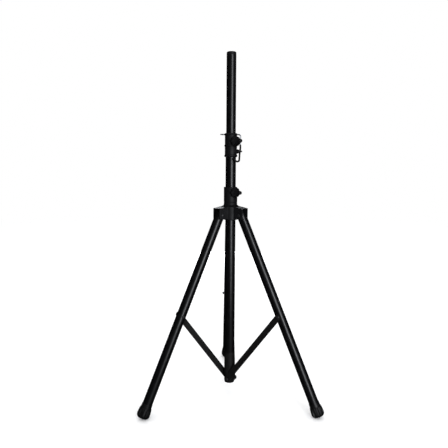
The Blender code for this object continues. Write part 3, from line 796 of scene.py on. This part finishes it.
def build_yoke():
    piece("leg_hub", placed(yoke_mesh(), COLUMN), PLASTIC, "black_plastic", "yoke", "yoke",
          weighted=False, sharp=75)
    bush = combined(liner("yoke_bush", TUBE_R + CLEAR, 0.0006), removed=[clamp_hole(LOWER_CLAMP_Z)])
    piece("hub_liner", placed(bush, COLUMN), LINER, "liner_plastic", "yoke", "yoke_bush")
    half, head, head_r, shank = LOBE_HALF_WIDTH + CLEAR, 0.0016, 0.0060, 0.0040
    one_head = [(0, half + head), (0.0026, half + head, 0.0004), (head_r, half + 0.0006, 0.0008),
                (head_r, half, 0.0002), (shank, half)]
    other_head = [(size, -height, *rounding) for size, height, *rounding in reversed(one_head)]
    for side in SIDES:
        rivet = turned(one_head + other_head, sides=48)
        piece("hub_rivet_" + side, placed(rivet, leg_frame(side) @ ALONG_HINGE), OXIDE, "black_oxide_steel",
              "yoke", "leg_pin_" + side)


# ---------------------------------------------------------------- legs and feet
FOOT_RIBS = 14
FOOT_RIB_DEPTH = 0.0034


def foot_mesh(side):
    """Rubber boot with a smooth sleeve, a step, and a ribbed flare that stands on its edge."""
    wall = LEG_R + CLEAR
    widest, corner = 0.0231, 0.0110
    corner_r = widest - corner
    corner_z = (-0.0008 + corner + corner_r * sin(LEG_TILT)) / cos(LEG_TILT)
    foot_top, step_z, sole_r = 0.0550, 0.0405, 0.0125
    inner = [(0.0005, LEG_END), (wall, LEG_END), (wall, foot_top)]
    outer = rounded([
        (wall, foot_top), (wall + 0.0010, foot_top, 0.0005), (wall + 0.0011, step_z + 0.0016, 0.0003),
        (wall + 0.0007, step_z + 0.0008), (wall + 0.0030, step_z, 0.0006),
        (widest - 0.0004, corner_z + 0.010),
    ], steps=3)[1:]
    outer += arc((corner_r, corner_z), corner, 0, -84, 12)
    outer += [(corner_r * scale, corner_z - corner - 0.0004) for scale in (0.6, 0.3)]
    outer.append((0.0005, corner_z - corner - 0.0005))
    sections = [(reach, height, 0.0) for reach, height in inner]
    for reach, height in outer:
        below_step = share((step_z - 0.0012 - height) / 0.003)
        above_sole = share((height - 0.0030) / 0.005)
        depth = FOOT_RIB_DEPTH * below_step * above_sole if reach > sole_r else 0.0
        sections.append((reach, height, depth))
    mesh = fluted(sections, 8 * FOOT_RIBS, lambda angle: max(0.0, cos(FOOT_RIBS * angle)) ** 1.2)
    mesh.transform(leg_frame(side) @ Matrix.Translation((0, 0, -LEG_REACH)))
    for vert in mesh.vertices:
        vert.co.z = max(vert.co.z, 0.0)
    return mesh


def build_leg(side):
    leg = leg_frame(side)
    body = "leg_" + side
    tube = tube_mesh(LEG_R, WALL, LEG_END - LEG_REACH, LEG_TOP)
    tube = combined(tube, removed=[pivot_hole(ALONG_HINGE)])
    piece("leg_" + side, placed(tube, leg), POWDER, "powder_coat", body, "leg_tube_" + side)

    plug_r, cap_r, cap_top, plug_low = LEG_R - WALL - CLEAR, LEG_R - 0.0003, LEG_TOP + 0.0018, -0.015
    plug = turned([
        (0, cap_top), (cap_r, cap_top, 0.0012), (cap_r, LEG_TOP + CLEAR), (plug_r, LEG_TOP + CLEAR),
        (plug_r, plug_low, 0.001), (0, plug_low),
    ])
    plug = combined(plug, removed=[pivot_hole(ALONG_HINGE)])
    piece("leg_plug_" + side, placed(plug, leg), PLASTIC, "black_plastic", body, "leg_top_plug_" + side)

    piece("rubber_foot_" + side, foot_mesh(side), RUBBER, "rubber", body, "foot_" + side)

    washer_r, near, far = 0.0088, -0.011, CLEAR - BRACE_INNER
    washer = turned([(0, near), (washer_r, near), (washer_r, far, 0.0005), (0, far)], sides=64)
    washer = placed(washer, BRACE_PIVOT)
    washer = combined(washer, removed=[rod(LEG_R + CLEAR, -0.45, -0.30, 96)])
    piece("brace_spacer_" + side, placed(washer, leg), MATTE, "powder_coat", body, "brace_washer_" + side)
    nut = placed(nut_mesh(), leg @ BRACE_PIVOT)
    piece("brace_lock_nut_" + side, nut, OXIDE, "black_oxide_steel", body, "brace_nut_" + side, sharp=30)


def nut_mesh():
    """The lock nut of a brace bolt, on the far side of its leg, with the bolt's end showing."""
    flats, low = 0.0100, LEG_R + CLEAR
    shape = hexagon(
        (flats - 0.0008, low, 0.0006), (flats, low + 0.0004, 0.0001), (flats, low + 0.0036, 0.0001),
        (flats - 0.0010, low + 0.0043, 0.0006), (flats - 0.0022, low + 0.0046, 0.0012),
        (flats - 0.0024, low + 0.0055, 0.0012),
    )
    return combined(shape, [threaded(SCREW_R, low + 0.0030, low + 0.0066, 0.001)])


# ---------------------------------------------------------------- braces
def strap_mesh(length):
    """A flat strap with round ends and rolled edges, in the brace's frame."""
    def outline(inset, depth):
        half = BRACE_HALF_WIDTH - inset
        points = list(arc((0, length), half, 0, 180, 24)) + list(arc((0, 0), half, 180, 360, 24))
        return [(x, depth, z) for x, z in points]

    near, far, edge = -BRACE_INNER, -(BRACE_INNER + BRACE_THICK), 0.0006
    turns = [i / 3 * pi / 2 for i in range(4)]
    rings = [outline(edge * (1 - sin(a)), near - edge * (1 - cos(a))) for a in turns]
    rings += [outline(edge * (1 - cos(a)), far + edge * (1 - sin(a))) for a in turns]
    return lofted(rings)


def build_brace(side):
    brace = brace_frame(side)
    body = "brace_" + side
    length = (leg_frame(side) @ Vector((0, 0, -BRACE_ON_LEG)) - brace.translation).length
    piece("strap_" + side, placed(strap_mesh(length), brace), MATTE, "strap_steel", body, "brace_" + side)
    at = brace @ Matrix.Translation((0, 0, length)) @ Matrix.Rotation(pi / 2, 4, "X")
    piece("strap_bolt_" + side, placed(bolt_mesh(BRACE_INNER + CLEAR), at), OXIDE, "black_oxide_steel",
          body, "brace_bolt_" + side, sharp=35)


# ---------------------------------------------------------------- stage, light and camera
def build_stage():
    shape = bmesh.new()
    bmesh.ops.create_circle(shape, cap_ends=True, segments=128, radius=7.0)
    floor = bpy.data.objects.new("floor", to_mesh(shape, "floor"))
    bpy.context.scene.collection.objects.link(floor)
    floor.location = (AXIS.x, AXIS.y, 0)
    paint = bpy.data.materials.new("pale_floor")
    paint.use_nodes = True
    shader = paint.node_tree.nodes["Principled BSDF"]
    shader.inputs["Base Color"].default_value = (0.99, 0.99, 0.99, 1)
    shader.inputs["Roughness"].default_value = 0.9
    shader.inputs["Specular IOR Level"].default_value = 0.0
    floor.data.materials.append(paint)
    floor.visible_glossy = False


def soft_light(name, at, aim, size, energy, tint):
    """A rectangular lamp, in metres and watts, that faces a point."""
    lamp = bpy.data.lights.new(name, "AREA")
    lamp.shape = "RECTANGLE"
    lamp.size, lamp.size_y = size
    lamp.energy = energy
    lamp.color = tint
    obj = bpy.data.objects.new(name, lamp)
    obj.location = at
    obj.rotation_euler = (Vector(aim) - Vector(at)).to_track_quat("-Z", "Y").to_euler()
    bpy.context.scene.collection.objects.link(obj)


def around(degrees, distance, height):
    """A point round the column. Zero degrees is straight in front, towards -Y, and + is to the right."""
    angle = radians(degrees)
    return AXIS + Vector((distance * sin(angle), -distance * cos(angle), height))


def build_lights():
    """A white surround that gloss doesn't reflect, a tall strip before and one behind, and a soft top."""
    scene = bpy.context.scene
    scene.view_settings.view_transform = "Standard"
    world = bpy.data.worlds.new("studio")
    scene.world = world
    world.use_nodes = True
    tree = world.node_tree
    backdrop = tree.nodes["Background"]
    backdrop.inputs["Color"].default_value = (1, 1, 1, 1)
    backdrop.inputs["Strength"].default_value = 1.0
    world.cycles_visibility.glossy = False
    middle = AXIS + Vector((0, 0, 0.65))
    cool, white = (0.93, 0.955, 1.0), (1, 1, 1)
    soft_light("key", around(23, 3.0, 1.0), middle, size=(0.80, 2.6), energy=62, tint=cool)
    soft_light("back", around(180, 3.0, 1.1), middle, size=(0.5, 2.6), energy=30, tint=cool)
    soft_light("overhead", AXIS + Vector((0, 0, 4.2)), AXIS, size=(5.0, 5.0), energy=12, tint=white)


def build_camera():
    """In front of the column, a little left of straight ahead, looking slightly down."""
    distance, height, yaw, tilt, pan, roll = 1.6447, 0.8518, 2.2216, 6.4935, 0.8271, 0.3025
    camera = bpy.data.cameras.new("camera")
    camera.sensor_width = 36
    camera.lens = 35.6
    camera.clip_end = 50
    obj = bpy.data.objects.new("camera", camera)
    bpy.context.scene.collection.objects.link(obj)
    obj.location = around(-yaw, distance, height)
    turn = (
        Matrix.Rotation(radians(pan - yaw), 4, "Z")
        @ Matrix.Rotation(radians(90 - tilt), 4, "X")
        @ Matrix.Rotation(radians(roll), 4, "Z")
    )
    obj.rotation_euler = turn.to_euler()
    bpy.context.scene.camera = obj


build_pole()
build_column()
build_clamp("upper", UPPER_CLAMP_Z, POLE_R, "upper_knob", "upper_pad")
build_clamp("lower", LOWER_CLAMP_Z, TUBE_R, "lower_knob", "lower_pad")
build_locking_pin()
build_yoke()
for leg_side in SIDES:
    build_leg(leg_side)
    build_brace(leg_side)
build_stage()
build_lights()
build_camera()
